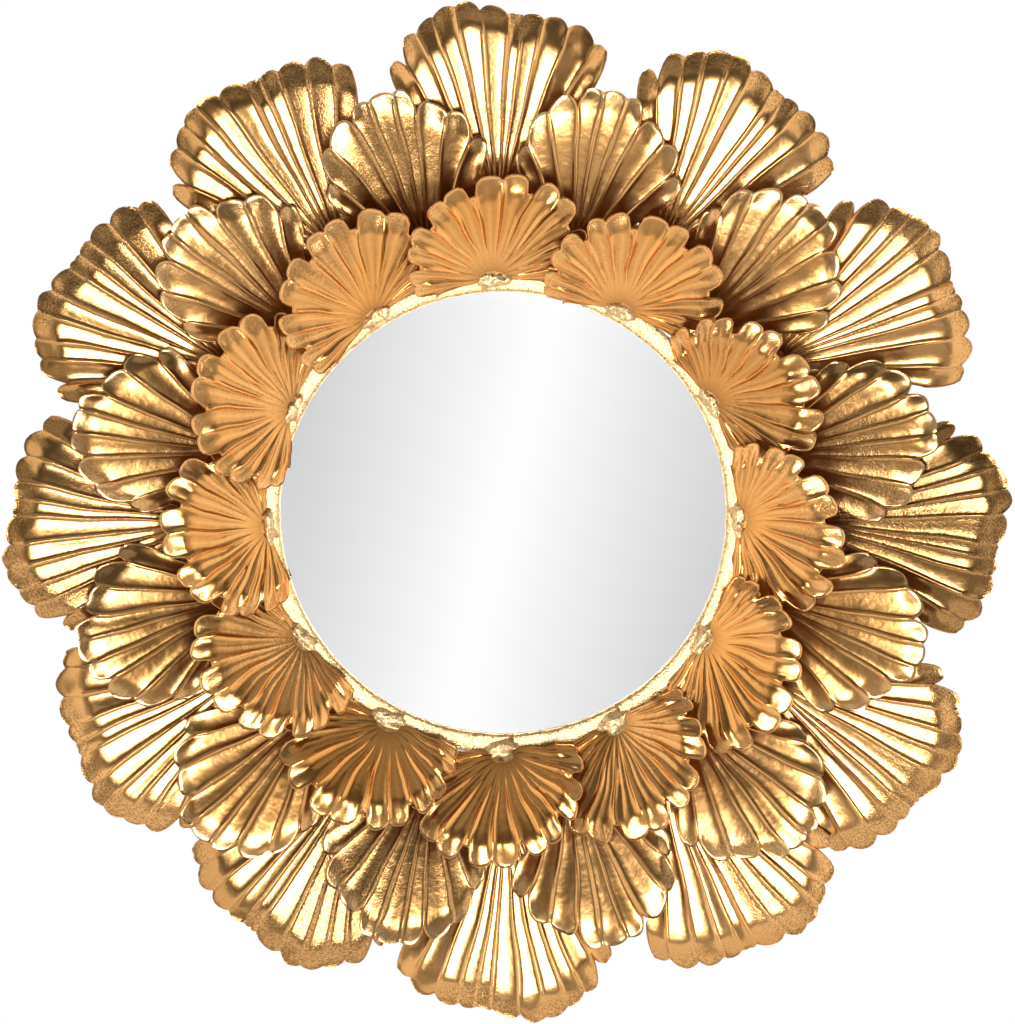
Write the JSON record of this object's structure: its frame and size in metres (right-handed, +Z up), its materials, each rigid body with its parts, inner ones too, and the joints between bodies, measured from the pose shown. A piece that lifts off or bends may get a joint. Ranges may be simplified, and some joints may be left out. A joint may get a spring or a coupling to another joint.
{
  "type": "wall mirror",
  "caption": "Round wall mirror in a thin metal rim, ringed by overlapping tiers of fluted, fan-shaped gold sheet-metal leaves carried on a wire frame.",
  "frame": {"origin": "centre of the backing board's rear face, which lies on the wall", "axes": "+Z up the wall, +Y into the wall, so the mirror faces -Y, and +X to the right of a viewer in front"},
  "size_m": [0.8023, 0.0648, 0.8168],
  "materials": {
    "leaf_gold": "gold leaf on pressed sheet steel, satin and mottled",
    "rim_gold": "rough, brushed-on gold paint",
    "frame_gold": "satin gold paint on steel",
    "mirror": "silvered float glass, polished",
    "gasket_rubber": "soft black strip",
    "packing_foam": "soft closed-cell foam sheet",
    "board": "plain medium-density fibreboard",
    "screw_steel": "zinc plated",
    "bumper_rubber": "matte moulded rubber"
  },
  "bodies": {
    "root": {"outer_leaf_01": "leaf_gold", "outer_leaf_02": "leaf_gold", "outer_leaf_03": "leaf_gold", "outer_leaf_04": "leaf_gold", "outer_leaf_05": "leaf_gold", "outer_leaf_06": "leaf_gold", "outer_leaf_07": "leaf_gold", "outer_leaf_08": "leaf_gold", "outer_leaf_09": "leaf_gold", "outer_leaf_10": "leaf_gold", "outer_leaf_11": "leaf_gold", "outer_leaf_12": "leaf_gold", "middle_leaf_01": "leaf_gold", "middle_leaf_02": "leaf_gold", "middle_leaf_03": "leaf_gold", "middle_leaf_04": "leaf_gold", "middle_leaf_05": "leaf_gold", "middle_leaf_06": "leaf_gold", "middle_leaf_07": "leaf_gold", "middle_leaf_08": "leaf_gold", "middle_leaf_09": "leaf_gold", "middle_leaf_10": "leaf_gold", "middle_leaf_11": "leaf_gold", "middle_leaf_12": "leaf_gold", "inner_leaf_01": "leaf_gold", "inner_leaf_02": "leaf_gold", "inner_leaf_03": "leaf_gold", "inner_leaf_04": "leaf_gold", "inner_leaf_05": "leaf_gold", "inner_leaf_06": "leaf_gold", "inner_leaf_07": "leaf_gold", "inner_leaf_08": "leaf_gold", "inner_leaf_09": "leaf_gold", "inner_leaf_10": "leaf_gold", "inner_leaf_11": "leaf_gold", "inner_leaf_12": "leaf_gold", "mirror_glass": "mirror", "glass_gasket": "gasket_rubber", "packing_foam": "packing_foam", "backing_board": "board", "rim_hoop": "rim_gold", "board_lugs": "frame_gold", "board_screws": "screw_steel", "rear_hoop": "frame_gold", "middle_hoop": "frame_gold", "frame_arms": "frame_gold", "wall_bumpers": "bumper_rubber", "keyhole_strap_left": "frame_gold", "keyhole_strap_right": "frame_gold", "outer_leaf_tangs": "frame_gold", "middle_leaf_tangs": "frame_gold", "inner_leaf_tangs": "frame_gold"}
  },
  "joints": []
}
